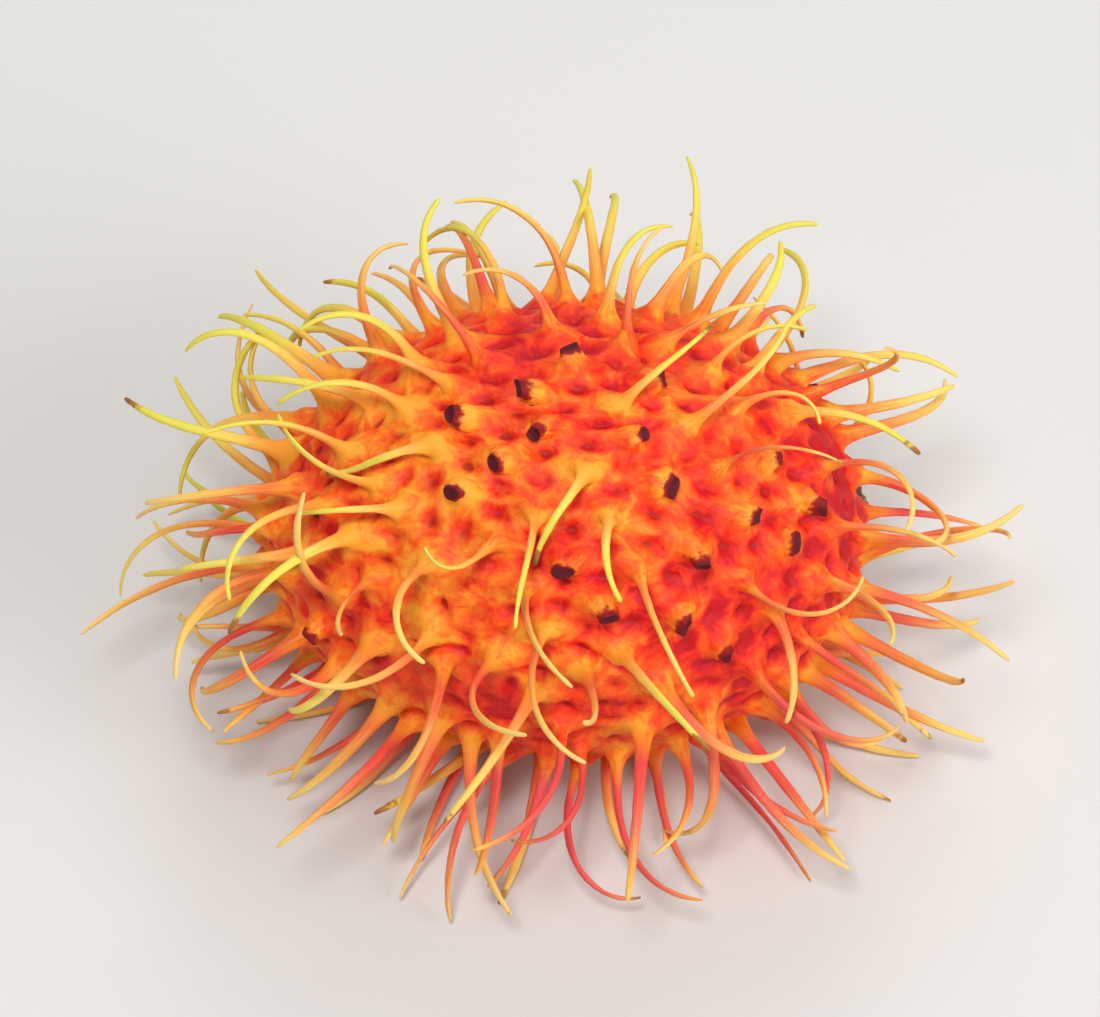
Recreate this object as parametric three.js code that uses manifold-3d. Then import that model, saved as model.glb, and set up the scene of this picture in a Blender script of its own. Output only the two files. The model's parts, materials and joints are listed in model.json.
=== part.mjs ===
// Rambutan: one ripe fruit as picked, lying on its side on a level surface.
//
// Millimetres, +Z up. The fruit's long axis runs along X, with the blossom end at -X and the stem end at +X,
// turned a little towards +Y. The fruit rests on a small flat spot in the plane z = 0. The origin lies in
// that plane, under the middle of the whole model.
//
// fruit      the rind with its tubercles and curved spinterns, grown as one piece
// stem_stub  what is left of the woody stalk, in a shallow socket at the stem end

import * as THREE from 'three';
import { mergeVertices } from 'three/addons/utils/BufferGeometryUtils.js';
import Module from 'manifold-3d';

const wasm = await Module();
wasm.setup();

// Body, without its spinterns.
const BODY_LENGTH = 48;
const BODY_WIDTH = 36.5;
const BODY_HEIGHT = 35;
const STEM_END_FULLNESS = 0.05; // how much fatter the stem end is than the blossom end
const BODY_DETAIL = 3;
const FLAT_SPOT_DEPTH = 0.8; // how far the underside is pressed flat

// Spinterns.
const SEED = 4127;
const SPINTERN_PLACES = 256;
const PLACE_JITTER = 0.05; // random shift of a place, on a body of radius 1
const SPINTERN_SIDES = 4;
const SPINTERN_LENGTH = { min: 10.5, max: 17.5 };
const STUB_LENGTH = { min: 1.2, max: 2.2 };
const TUBERCLE_RADIUS = 2.4;
const TUBERCLE_DEPTH = 1.15; // how far a spintern's root reaches into the body
const NECK_RADIUS = 0.85;
const NECK_HEIGHT = 1.5;
const TIP_RADIUS = 0.4;
const CURL = { min: 0.6, max: 2.5 }; // how far a spintern turns between root and tip, in radians
const STUB_CURL = 0.25;
const PRESSED_CURL = 0.35; // under the fruit they lie along the surface and curl less
const PRESSED_BELOW = -0.6; // where the normal points lower than this
const CURL_POWER = { min: 1, max: 2.2 }; // above 1, the outer part turns most
const GENTLE_BEND = 24; // curl times length below which one bend is enough
const TWIST = 2.2; // how far the bend's plane may turn round the heading, in radians
const COMBED_OUT = 0.36;
const COMBED_ENDWAYS = 1.7; // how much more towards the fruit's ends than to its sides
const DROOP = 0.1;
const UNDERSIDE = -0.3; // where the normal points lower than this, the fruit's weight splays the spinterns
const SPLAY = 0.75;
const HEADING_SPREAD = 0.44;
const TIP_DROOP = 0.55;
const BEND_SPREAD = 1.15;
const BACK_SWEEP = new THREE.Vector3(-0.5, 0, 0.25); // the back's spinterns bend to the left
const PATH_STEPS = 24;
const EASINGS = 4; // how many times a path's sharp turns are eased
const SKIN_GAP = 0.3; // between a curled spintern and the rind
const FLOOR_GAP = 0.1;
const LOWEST_ROOT = 1.0; // no spintern grows out of the pressed spot

// The side that has been handled most, where many spinterns are worn down to stubs.
const WORN_SIDE = new THREE.Vector3(0.13, -0.35, 0.92).normalize();
const WORN_REACH = 0.8;
const WORN_SHARE = 0.62;
const STRAY_STUB_SHARE = 0.06;
const HANDLED_FROM = 0.45; // near that side the other spinterns are shorter and lie flatter and more tangled
const HANDLED_OVER = 0.4;
const HANDLED_SHORTENING = 0.24;
const HANDLED_COMB = 0.5;
const HANDLED_SPREAD = 0.22;

// Stem end.
const STEM_TURN = 0.4; // from +X towards +Y, in radians
const STEM_DIP = -0.36; // below the horizontal
const SOCKET_RADIUS = 3.4;
const SOCKET_DEPTH = 1.3;
const CLEARANCE = 0.3;
const STALK_RADIUS = 1.6;
const STALK_LENGTH = 5.2;
const BARE_RADIUS = 5.4; // no spintern's root is nearer to the stem's axis

const UP = new THREE.Vector3(0, 0, 1);
const BODY_CENTRE_HEIGHT = BODY_HEIGHT / 2 - FLAT_SPOT_DEPTH;
const STEM_DIRECTION = new THREE.Vector3(
  Math.cos(STEM_DIP) * Math.cos(STEM_TURN),
  Math.cos(STEM_DIP) * Math.sin(STEM_TURN),
  Math.sin(STEM_DIP),
);

// ---------------------------------------------------------------------------------------------- helpers

// A repeatable stream of numbers from 0 to 1 (mulberry32).
function randomStream(seed) {
  let state = seed >>> 0;
  return () => {
    state = (state + 0x6d2b79f5) >>> 0;
    let mixed = Math.imul(state ^ (state >>> 15), state | 1);
    mixed ^= mixed + Math.imul(mixed ^ (mixed >>> 7), mixed | 61);
    return ((mixed ^ (mixed >>> 14)) >>> 0) / 4294967296;
  };
}

function between(range, share) {
  return THREE.MathUtils.lerp(range.min, range.max, share);
}

// A closed geometry as a solid that can be joined and cut, without the triangles that the axis makes a line.
function solidOf(geometry) {
  const plain = geometry.clone();
  plain.deleteAttribute('normal');
  plain.deleteAttribute('uv');
  const merged = mergeVertices(plain, 1e-4);
  const corners = merged.index.array;
  const kept = [];
  for (let i = 0; i < corners.length; i += 3) {
    const [a, b, c] = [corners[i], corners[i + 1], corners[i + 2]];
    if (a !== b && b !== c && c !== a) {
      kept.push(a, b, c);
    }
  }
  return new wasm.Manifold(new wasm.Mesh({
    numProp: 3,
    vertProperties: new Float32Array(merged.attributes.position.array),
    triVerts: new Uint32Array(kept),
  }));
}

function geometryOf(solid) {
  const mesh = solid.getMesh();
  const geometry = new THREE.BufferGeometry();
  geometry.setAttribute('position', new THREE.BufferAttribute(new Float32Array(mesh.vertProperties), 3));
  geometry.setIndex(new THREE.BufferAttribute(new Uint32Array(mesh.triVerts), 1));
  geometry.computeVertexNormals();
  return geometry;
}

// ------------------------------------------------------------------------------------------------- body

// The point of the body's surface that lies in a direction: an ellipsoid that is fuller at the stem end.
function bodyPoint(direction) {
  const fullness = 1 + STEM_END_FULLNESS * direction.x;
  return new THREE.Vector3(
    direction.x * BODY_LENGTH / 2,
    direction.y * fullness * BODY_WIDTH / 2,
    direction.z * fullness * BODY_HEIGHT / 2,
  );
}

// The direction whose surface point lies nearly under a place. Both are measured from the body's middle.
function directionOf(place) {
  return new THREE.Vector3(place.x / BODY_LENGTH, place.y / BODY_WIDTH, place.z / BODY_HEIGHT).normalize();
}

// How high a place lies over the surface, along the line to the body's middle.
function heightOver(place) {
  return place.length() - bodyPoint(directionOf(place)).length();
}

// The outward normal at the surface point in a direction, from two short steps along the surface.
function bodyNormal(direction) {
  const side = Math.abs(direction.z) < 0.9 ? UP : new THREE.Vector3(1, 0, 0);
  const across = side.clone().cross(direction).normalize();
  const along = direction.clone().cross(across);
  const step = 0.001;
  const here = bodyPoint(direction);
  const over = bodyPoint(direction.clone().addScaledVector(across, step).normalize()).sub(here);
  const on = bodyPoint(direction.clone().addScaledVector(along, step).normalize()).sub(here);
  return over.cross(on).normalize();
}

function bodySolid() {
  const geometry = new THREE.IcosahedronGeometry(1, BODY_DETAIL);
  const position = geometry.attributes.position;
  const direction = new THREE.Vector3();
  for (let i = 0; i < position.count; i++) {
    direction.fromBufferAttribute(position, i).normalize();
    const point = bodyPoint(direction);
    position.setXYZ(i, point.x, point.y, point.z);
  }
  geometry.translate(0, 0, BODY_CENTRE_HEIGHT);
  return solidOf(geometry);
}

// -------------------------------------------------------------------------------------------- spinterns

// Evenly spread directions along a golden-angle spiral about X, each shifted a little at random.
function spinternPlaces(random) {
  const goldenAngle = Math.PI * (3 - Math.sqrt(5));
  const places = [];
  for (let i = 0; i < SPINTERN_PLACES; i++) {
    const x = 1 - 2 * (i + 0.5) / SPINTERN_PLACES;
    const ring = Math.sqrt(1 - x * x);
    const angle = i * goldenAngle;
    places.push(new THREE.Vector3(
      x + PLACE_JITTER * (2 * random() - 1),
      ring * Math.cos(angle) + PLACE_JITTER * (2 * random() - 1),
      ring * Math.sin(angle) + PLACE_JITTER * (2 * random() - 1),
    ).normalize());
  }
  return places;
}

function randomVector(random) {
  return new THREE.Vector3(2 * random() - 1, 2 * random() - 1, 2 * random() - 1);
}

// How one spintern grows: its root, its first heading, where it bends to, and how long and curled it is.
// Every spintern leaves along the surface's normal, combed outwards from the top and drooping.
function growSpintern(place, random) {
  const root = bodyPoint(place).add(new THREE.Vector3(0, 0, BODY_CENTRE_HEIGHT));
  const normal = bodyNormal(place);
  const outwards = new THREE.Vector3(COMBED_ENDWAYS * normal.x, normal.y, 0).normalize();
  const handled = THREE.MathUtils.clamp((normal.dot(WORN_SIDE) - HANDLED_FROM) / HANDLED_OVER, 0, 1);
  const heading = normal.clone()
    .addScaledVector(outwards, COMBED_OUT + HANDLED_COMB * handled)
    .addScaledVector(UP, normal.z < UNDERSIDE ? -SPLAY * normal.z : -DROOP)
    .addScaledVector(randomVector(random), HEADING_SPREAD + HANDLED_SPREAD * handled)
    .normalize();
  const bend = outwards.clone()
    .addScaledVector(UP, -TIP_DROOP)
    .addScaledVector(BACK_SWEEP, Math.max(0, normal.y))
    .addScaledVector(randomVector(random), BEND_SPREAD);
  const twist = TWIST * (random() - 0.5);
  const fullCurl = between(CURL, random());
  const curlPower = between(CURL_POWER, random());
  const worn = random() < WORN_SHARE && normal.dot(WORN_SIDE) > WORN_REACH;
  const stray = random() < STRAY_STUB_SHARE;
  const stub = worn || stray;
  const grown = between(stub ? STUB_LENGTH : SPINTERN_LENGTH, random());
  const length = stub ? grown : grown * (1 - HANDLED_SHORTENING * handled);
  const curl = fullCurl * (stub ? STUB_CURL : normal.z < PRESSED_BELOW ? PRESSED_CURL : 1);
  return { root, heading, bend, twist, curl, curlPower, length, stub };
}

// The spintern's half thickness at a distance from its root: a broad tubercle, a neck, and a long slim taper.
function thicknessAt(distance, length) {
  if (distance < NECK_HEIGHT) {
    const rise = (distance + TUBERCLE_DEPTH) / (NECK_HEIGHT + TUBERCLE_DEPTH);
    return THREE.MathUtils.lerp(TUBERCLE_RADIUS, NECK_RADIUS, rise);
  }
  const share = (distance - NECK_HEIGHT) / (length - NECK_HEIGHT);
  return THREE.MathUtils.lerp(NECK_RADIUS, TIP_RADIUS, share);
}

// A spintern's next direction, turned along the rind where it would curl back into the body.
function keptOut(last, direction, step, gap) {
  const away = last.clone().setZ(last.z - BODY_CENTRE_HEIGHT);
  const outwards = bodyNormal(directionOf(away));
  const sink = direction.dot(outwards);
  if (sink < 0 && heightOver(away.addScaledVector(direction, step)) < gap) {
    return direction.clone().addScaledVector(outwards, -sink).normalize();
  }
  return direction;
}

// A path with its sharpest turns eased and its ends left where they are.
function eased(points) {
  return points.map((point, i) => {
    if (i === 0 || i === points.length - 1) {
      return point;
    }
    return point.clone().multiplyScalar(2).add(points[i - 1]).add(points[i + 1]).divideScalar(4);
  });
}

// Points along the spintern's middle, from its root to its tip, which sink neither into the rind nor below
// the resting surface.
function spinternPath({ root, heading, bend, twist, curl, curlPower, length }) {
  const hinge = heading.clone().cross(bend).normalize();
  const points = [root.clone()];
  const step = length / PATH_STEPS;
  for (let i = 0; i < PATH_STEPS; i++) {
    const share = (i + 0.5) / PATH_STEPS;
    const axis = hinge.clone().applyAxisAngle(heading, twist * share);
    const curled = heading.clone().applyAxisAngle(axis, curl * share ** curlPower);
    const last = points[i];
    const room = thicknessAt((i + 1) * step, length);
    const direction = keptOut(last, curled, step, SKIN_GAP + room);
    const floor = FLOOR_GAP + room;
    if (last.z + direction.z * step < floor) {
      direction.z = Math.max(direction.z, Math.min(0.5, (floor - last.z) / step));
      direction.normalize();
    }
    points.push(last.clone().addScaledVector(direction, step));
  }
  return Array.from({ length: EASINGS }).reduce(eased, points);
}

// Where along its length a spintern is bent: a stub nowhere, a strongly curled one in two places.
function bendShares({ stub, curl, length }) {
  if (stub) {
    return [];
  }
  return curl * length < GENTLE_BEND ? [0.58] : [0.42, 0.73];
}

// A slim lathed taper with its rings moved onto the path, each square to it.
function spinternSolid(spintern) {
  const { length } = spintern;
  const path = new THREE.CatmullRomCurve3(spinternPath(spintern));
  const heights = [NECK_HEIGHT, ...bendShares(spintern).map((share) => share * length)];
  const profile = [
    new THREE.Vector2(0, -TUBERCLE_DEPTH),
    new THREE.Vector2(TUBERCLE_RADIUS, -TUBERCLE_DEPTH),
    ...heights.map((height) => new THREE.Vector2(thicknessAt(height, length), height)),
    new THREE.Vector2(0, length),
  ];
  const geometry = new THREE.LatheGeometry(profile, SPINTERN_SIDES);
  const position = geometry.attributes.position;
  const start = path.getPointAt(0);
  const first = path.getTangentAt(0);
  const upright = new THREE.Quaternion().setFromUnitVectors(new THREE.Vector3(0, 1, 0), first);
  const vertex = new THREE.Vector3();
  for (let i = 0; i < position.count; i++) {
    vertex.fromBufferAttribute(position, i);
    const height = vertex.y;
    const share = THREE.MathUtils.clamp(height / length, 0, 1);
    const middle = height < 0 ? start.clone().addScaledVector(first, height) : path.getPointAt(share);
    const turn = new THREE.Quaternion().setFromUnitVectors(first, path.getTangentAt(share));
    vertex.setY(0).applyQuaternion(upright).applyQuaternion(turn).add(middle);
    position.setXYZ(i, vertex.x, vertex.y, vertex.z);
  }
  return solidOf(geometry);
}

// --------------------------------------------------------------------------------------------- stem end

// A lathed form turned from its own axis to the stem's, standing on the bottom of the socket.
function atStemEnd(geometry) {
  const turn = new THREE.Quaternion().setFromUnitVectors(new THREE.Vector3(0, 1, 0), STEM_DIRECTION);
  const seat = stemSeat();
  return geometry.applyQuaternion(turn).translate(seat.x, seat.y, seat.z);
}

// Where the stem's axis leaves the body, moved in by the socket's depth.
function stemSeat() {
  const surface = bodyPoint(STEM_DIRECTION).add(new THREE.Vector3(0, 0, BODY_CENTRE_HEIGHT));
  return surface.addScaledVector(STEM_DIRECTION, -SOCKET_DEPTH);
}

function socketSolid() {
  const mouth = SOCKET_RADIUS + 0.9;
  const profile = [
    new THREE.Vector2(0, 0),
    new THREE.Vector2(SOCKET_RADIUS, 0),
    new THREE.Vector2(mouth, SOCKET_DEPTH + 1.5),
    new THREE.Vector2(0, SOCKET_DEPTH + 1.5),
  ];
  return solidOf(atStemEnd(new THREE.LatheGeometry(profile, 12)));
}

function stemStub() {
  const discRadius = SOCKET_RADIUS - CLEARANCE;
  const profile = [
    new THREE.Vector2(0, CLEARANCE),
    new THREE.Vector2(discRadius, CLEARANCE),
    new THREE.Vector2(discRadius + 0.1, CLEARANCE + 0.9),
    new THREE.Vector2(STALK_RADIUS + 0.5, CLEARANCE + 1.7),
    new THREE.Vector2(STALK_RADIUS, CLEARANCE + 2.8),
    new THREE.Vector2(STALK_RADIUS - 0.15, STALK_LENGTH - 1),
    new THREE.Vector2(STALK_RADIUS + 0.1, STALK_LENGTH),
    new THREE.Vector2(0, STALK_LENGTH + 0.4),
  ];
  return atStemEnd(new THREE.LatheGeometry(profile, 12));
}

// ------------------------------------------------------------------------------------------------ fruit

function clearOfStem(place) {
  const away = bodyPoint(place).sub(bodyPoint(STEM_DIRECTION));
  const along = away.dot(STEM_DIRECTION);
  return along < -BODY_HEIGHT / 2 || away.addScaledVector(STEM_DIRECTION, -along).length() > BARE_RADIUS;
}

function fruitGeometry() {
  const random = randomStream(SEED);
  let fruit = bodySolid().subtract(socketSolid());
  for (const place of spinternPlaces(random)) {
    const spintern = growSpintern(place, random);
    if (spintern.root.z > LOWEST_ROOT && clearOfStem(place)) {
      fruit = fruit.add(spinternSolid(spintern));
    }
  }
  const below = new THREE.BoxGeometry(4 * BODY_LENGTH, 4 * BODY_LENGTH, BODY_LENGTH);
  below.translate(0, 0, -BODY_LENGTH / 2);
  return geometryOf(fruit.subtract(solidOf(below)));
}

const rind = new THREE.MeshStandardMaterial({ color: 0xe8401f, roughness: 0.5, metalness: 0 });
const bark = new THREE.MeshStandardMaterial({ color: 0x6b5240, roughness: 0.85, metalness: 0 });

const fruit = new THREE.Mesh(fruitGeometry(), rind);
fruit.name = 'fruit';

const stem = new THREE.Mesh(stemStub(), bark);
stem.name = 'stem_stub';

const rambutan = new THREE.Group();
rambutan.add(fruit, stem);

// The middle of the whole model goes over the origin.
const middle = new THREE.Box3().setFromObject(rambutan).getCenter(new THREE.Vector3());
rambutan.position.set(-middle.x, -middle.y, 0);

export default rambutan;
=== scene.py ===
"""A ripe rambutan, as picked, lying on its side on a pale floor.

The rind is one seamless skin: a field of tubercles, each drawn out into a soft curved spintern. The places,
lengths and curls of the spinterns come from the same rules and the same stream of numbers as the solid model,
so every spintern lies where its solid does. The woody stub of the stalk is a piece of its own.
"""

import json
import logging
import math
from dataclasses import dataclass
from enum import Enum
from typing import Callable, Sequence

import bpy
import numpy as np
from mathutils import Matrix, Quaternion, Vector, noise


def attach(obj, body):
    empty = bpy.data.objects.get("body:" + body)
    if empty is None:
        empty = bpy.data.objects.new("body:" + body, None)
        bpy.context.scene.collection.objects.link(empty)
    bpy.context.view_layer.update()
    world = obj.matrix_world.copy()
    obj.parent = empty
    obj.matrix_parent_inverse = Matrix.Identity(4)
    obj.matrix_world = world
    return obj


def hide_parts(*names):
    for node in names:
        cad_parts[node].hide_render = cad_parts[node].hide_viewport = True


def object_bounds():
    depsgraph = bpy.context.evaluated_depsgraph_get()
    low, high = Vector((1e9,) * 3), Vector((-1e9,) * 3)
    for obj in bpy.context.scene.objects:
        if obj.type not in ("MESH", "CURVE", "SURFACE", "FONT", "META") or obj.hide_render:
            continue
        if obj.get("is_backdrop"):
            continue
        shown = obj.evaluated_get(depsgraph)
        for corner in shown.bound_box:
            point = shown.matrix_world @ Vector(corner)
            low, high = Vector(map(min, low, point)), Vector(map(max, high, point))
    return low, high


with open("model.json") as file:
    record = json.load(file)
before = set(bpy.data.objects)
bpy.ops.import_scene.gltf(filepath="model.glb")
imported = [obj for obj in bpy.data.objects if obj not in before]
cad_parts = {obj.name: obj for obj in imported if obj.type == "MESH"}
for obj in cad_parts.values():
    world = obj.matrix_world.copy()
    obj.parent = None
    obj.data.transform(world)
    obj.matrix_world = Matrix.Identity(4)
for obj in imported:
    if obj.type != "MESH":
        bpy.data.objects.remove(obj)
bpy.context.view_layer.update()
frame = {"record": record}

MM = 0.001
UP = Vector((0.0, 0.0, 1.0))
log = logging.getLogger("rambutan")

Colour = tuple[float, float, float]
Way = tuple[float, float, float]


# ---- Numbers


def held(value: float) -> float:
    """Return a value held between 0 and 1."""
    return min(1.0, max(0.0, value))


def unit(way: Way) -> Vector:
    """Return a direction as a vector one long."""
    return Vector(way).normalized()


def linear(*display: int) -> Colour:
    """Return the linear colour for a display colour's red, green and blue, from 0 to 255."""
    parts = [value / 255 for value in display]
    return tuple(v / 12.92 if v <= 0.04045 else ((v + 0.055) / 1.055) ** 2.4 for v in parts)


class RandomStream:
    """A repeatable stream of numbers from 0 to 1 (mulberry32), the same as the solid model's."""

    WORD = 0xFFFFFFFF
    STRIDE = 0x6D2B79F5

    def __init__(self, seed: int) -> None:
        """Start the stream at a seed."""
        self.state = seed & self.WORD

    def number(self) -> float:
        """Return the next number, from 0 up to 1."""
        self.state = (self.state + self.STRIDE) & self.WORD
        mixed = ((self.state ^ (self.state >> 15)) * (self.state | 1)) & self.WORD
        mixed ^= (mixed + (((mixed ^ (mixed >> 7)) * (mixed | 61)) & self.WORD)) & self.WORD
        return (mixed ^ (mixed >> 14)) / (self.WORD + 1)

    def between(self, low: float, high: float) -> float:
        """Return the next number, scaled to run from low to high."""
        return low + (high - low) * self.number()

    def vector(self) -> Vector:
        """Return a vector whose three parts run from -1 to 1."""
        return Vector([2 * self.number() - 1 for _ in range(3)])


# ---- Form


@dataclass(frozen=True)
class BodyForm:
    """The fruit's body without its spinterns: an ellipsoid, fuller at the stem end. Millimetres."""

    length: float = 48.0
    width: float = 36.5
    height: float = 35.0
    stem_end_fullness: float = 0.05
    flat_spot_depth: float = 0.8
    stem_turn: float = 0.4
    stem_dip: float = -0.36

    @property
    def centre_height(self) -> float:
        """How high the body's middle is over the floor."""
        return self.height / 2 - self.flat_spot_depth

    @property
    def stem_direction(self) -> Vector:
        """The way the stalk points."""
        level = math.cos(self.stem_dip)
        return Vector((level * math.cos(self.stem_turn), level * math.sin(self.stem_turn),
                       math.sin(self.stem_dip)))

    def point(self, direction: Vector) -> Vector:
        """Return the surface point that lies in a direction from the body's middle."""
        fullness = 1 + self.stem_end_fullness * direction.x
        return Vector((direction.x * self.length / 2, direction.y * fullness * self.width / 2,
                       direction.z * fullness * self.height / 2))

    def direction_of(self, place: Vector) -> Vector:
        """Return the direction whose surface point lies nearly under a place, measured from the middle."""
        return Vector((place.x / self.length, place.y / self.width, place.z / self.height)).normalized()

    def height_over(self, place: Vector) -> float:
        """Return how high a place lies over the surface, along the line to the body's middle."""
        return place.length - self.point(self.direction_of(place)).length

    def normal(self, direction: Vector) -> Vector:
        """Find which way the surface faces, from two short steps along it.

        Args:
            direction: Where on the surface, as seen from the body's middle.

        Returns:
            The outward normal there.
        """
        step = 0.001
        side = UP if abs(direction.z) < 0.9 else Vector((1.0, 0.0, 0.0))
        across = side.cross(direction).normalized()
        here = self.point(direction)
        over, onwards = (self.point((direction + way * step).normalized()) - here
                         for way in (across, direction.cross(across)))
        return over.cross(onwards).normalized()


@dataclass(frozen=True)
class Spintern:
    """One soft spine: where it grows, where it heads and bends, and how it is coloured."""

    place: Vector
    normal: Vector
    path: list[Vector]
    hinge: Vector
    length: float
    stub: bool
    grows: bool
    tone: float
    handled: float

    @property
    def heading(self) -> Vector:
        """The way it leaves the body."""
        return (self.path[1] - self.path[0]).normalized()


@dataclass(frozen=True)
class SpinternField:
    """The rules by which the spinterns are spread over the body, combed and curled. Millimetres."""

    body: BodyForm
    seed: int = 4127
    places: int = 256
    jitter: float = 0.05
    lengths: tuple[float, float] = (10.5, 17.5)
    stub_lengths: tuple[float, float] = (1.2, 2.2)
    # The handled side, where they are shorter and lie more as they were pushed.
    handled_from: float = 0.45
    handled_over: float = 0.4
    handled_shortening: float = 0.24
    handled_comb: float = 0.5
    handled_spread: float = 0.22
    # How they curl.
    curls: tuple[float, float] = (0.6, 2.5)
    stub_curl: float = 0.25
    pressed_curl: float = 0.35
    pressed_below: float = -0.6
    curl_powers: tuple[float, float] = (1.0, 2.2)
    twist: float = 2.2
    # How they are combed and droop.
    combed_out: float = 0.36
    combed_endways: float = 1.7
    droop: float = 0.1
    underside: float = -0.3
    splay: float = 0.75
    heading_spread: float = 0.44
    tip_droop: float = 0.55
    bend_spread: float = 1.15
    back_sweep: Way = (-0.5, 0.0, 0.25)
    # How each is traced over the rind and the floor.
    path_steps: int = 24
    easings: int = 4
    skin_gap: float = 0.3
    floor_gap: float = 0.1
    steepest_lift: float = 0.5
    # Where none grow, and where they are worn to stubs.
    lowest_root: float = 1.0
    bare_radius: float = 5.4
    worn_side: Way = (0.13, -0.35, 0.92)
    worn_reach: float = 0.8
    worn_share: float = 0.62
    stray_stub_share: float = 0.06
    # The solid ones' thickness.
    tubercle_radius: float = 2.4
    tubercle_depth: float = 1.15
    neck_radius: float = 0.85
    neck_height: float = 1.5
    tip_radius: float = 0.4
    # How their colours drift over the fruit.
    tone_scales: tuple[float, float] = (3.1, 41.0)

    def directions(self, random: RandomStream) -> list[Vector]:
        """Spread places along a golden-angle spiral about X, each shifted a little.

        Args:
            random: The stream that the shifts come from.

        Returns:
            Unit vectors from the body's middle to the places.
        """
        golden_angle = math.pi * (3 - math.sqrt(5))
        found = []
        for i in range(self.places):
            x = 1 - 2 * (i + 0.5) / self.places
            ring = math.sqrt(1 - x * x)
            angle = i * golden_angle
            shift = random.vector() * self.jitter
            found.append((Vector((x, ring * math.cos(angle), ring * math.sin(angle))) + shift).normalized())
        return found

    def thickness(self, distance: float, length: float) -> float:
        """Find the solid spintern's half thickness.

        Args:
            distance: How far along it from its root.
            length: Its length.

        Returns:
            The half thickness there.
        """
        if distance < self.neck_height:
            rise = (distance + self.tubercle_depth) / (self.neck_height + self.tubercle_depth)
            return self.tubercle_radius + (self.neck_radius - self.tubercle_radius) * rise
        share = (distance - self.neck_height) / (length - self.neck_height)
        return self.neck_radius + (self.tip_radius - self.neck_radius) * share

    def trace(self, root: Vector, heading: Vector, hinge: Vector, twist: float, curl: float,
              curl_power: float, length: float) -> list[Vector]:
        """Follow a spintern's middle from root to tip, kept above the floor.

        Args:
            root: Where it leaves the body.
            heading: Its first direction.
            hinge: The axis that it curls about.
            twist: How far that axis turns round the heading on the way.
            curl: How far the spintern turns in all.
            curl_power: 1 for an even turn, and more where the outer part turns most.
            length: Its length along the curve.

        Returns:
            Points at equal steps along it.
        """
        points = [root.copy()]
        step = length / self.path_steps
        for i in range(self.path_steps):
            share = (i + 0.5) / self.path_steps
            axis = Quaternion(heading, twist * share) @ hinge
            direction = Quaternion(axis, curl * share ** curl_power) @ heading
            last = points[i]
            room = self.thickness((i + 1) * step, length)
            direction = self.kept_out(last, direction, step, self.skin_gap + room)
            floor = self.floor_gap + room
            if last.z + direction.z * step < floor:
                direction.z = max(direction.z, min(self.steepest_lift, (floor - last.z) / step))
                direction.normalize()
            points.append(last + direction * step)
        for _ in range(self.easings):
            inner = [(a + b * 2 + c) / 4 for a, b, c in zip(points, points[1:], points[2:])]
            points = [points[0], *inner, points[-1]]
        return points

    def kept_out(self, last: Vector, direction: Vector, step: float, gap: float) -> Vector:
        """Turn a spintern's next step along the rind where it would curl back into the body.

        Args:
            last: Where the step starts.
            direction: Where it heads.
            step: Its length.
            gap: How far over the rind the spintern's middle has to stay.

        Returns:
            The direction, turned outwards if it has to be.
        """
        away = last - UP * self.body.centre_height
        outwards = self.body.normal(self.body.direction_of(away))
        sink = direction.dot(outwards)
        if sink < 0 and self.body.height_over(away + direction * step) < gap:
            return (direction - outwards * sink).normalized()
        return direction

    def grow(self, place: Vector, random: RandomStream) -> Spintern:
        """Grow one spintern along the normal, combed outwards from the top and drooping.

        Args:
            place: The direction of its place from the body's middle.
            random: The stream that its own character comes from.

        Returns:
            The spintern, in millimetres from the body's axis on the floor.
        """
        root = self.body.point(place) + UP * self.body.centre_height
        normal = self.body.normal(place)
        outwards = Vector((normal.x * self.combed_endways, normal.y, 0.0)).normalized()
        lift = -self.splay * normal.z if normal.z < self.underside else -self.droop
        facing = normal.dot(unit(self.worn_side))
        handled = held((facing - self.handled_from) / self.handled_over)
        combed = self.combed_out + self.handled_comb * handled
        spread = self.heading_spread + self.handled_spread * handled
        heading = (normal + outwards * combed + UP * lift + random.vector() * spread).normalized()
        bend = (outwards - UP * self.tip_droop + Vector(self.back_sweep) * max(0.0, normal.y)
                + random.vector() * self.bend_spread)
        twist = self.twist * (random.number() - 0.5)
        curl = random.between(*self.curls)
        curl_power = random.between(*self.curl_powers)
        worn = random.number() < self.worn_share and facing > self.worn_reach
        stub = random.number() < self.stray_stub_share or worn
        length = random.between(*(self.stub_lengths if stub else self.lengths))
        length *= 1 if stub else 1 - self.handled_shortening * handled
        curl *= self.stub_curl if stub else self.pressed_curl if normal.z < self.pressed_below else 1
        hinge = heading.cross(bend).normalized()
        path = self.trace(root, heading, hinge, twist, curl, curl_power, length)
        grows = root.z > self.lowest_root and self.clear_of_stem(place)
        tone = sum(noise.noise(place * scale) for scale in self.tone_scales) / 2
        return Spintern(place, normal, path, hinge, length, stub, grows, tone, handled)

    def clear_of_stem(self, place: Vector) -> bool:
        """Find whether a place is outside the bare ring round the stalk.

        Args:
            place: The direction of the place from the body's middle.

        Returns:
            Whether a spintern may grow there.
        """
        stem = self.body.stem_direction
        away = self.body.point(place) - self.body.point(stem)
        along = away.dot(stem)
        return along < -self.body.height / 2 or (away - stem * along).length > self.bare_radius

    def grow_all(self) -> list[Spintern]:
        """Return every spintern, in the order that the solid model grows them."""
        random = RandomStream(self.seed)
        return [self.grow(place, random) for place in self.directions(random)]


# ---- Meshes


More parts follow.
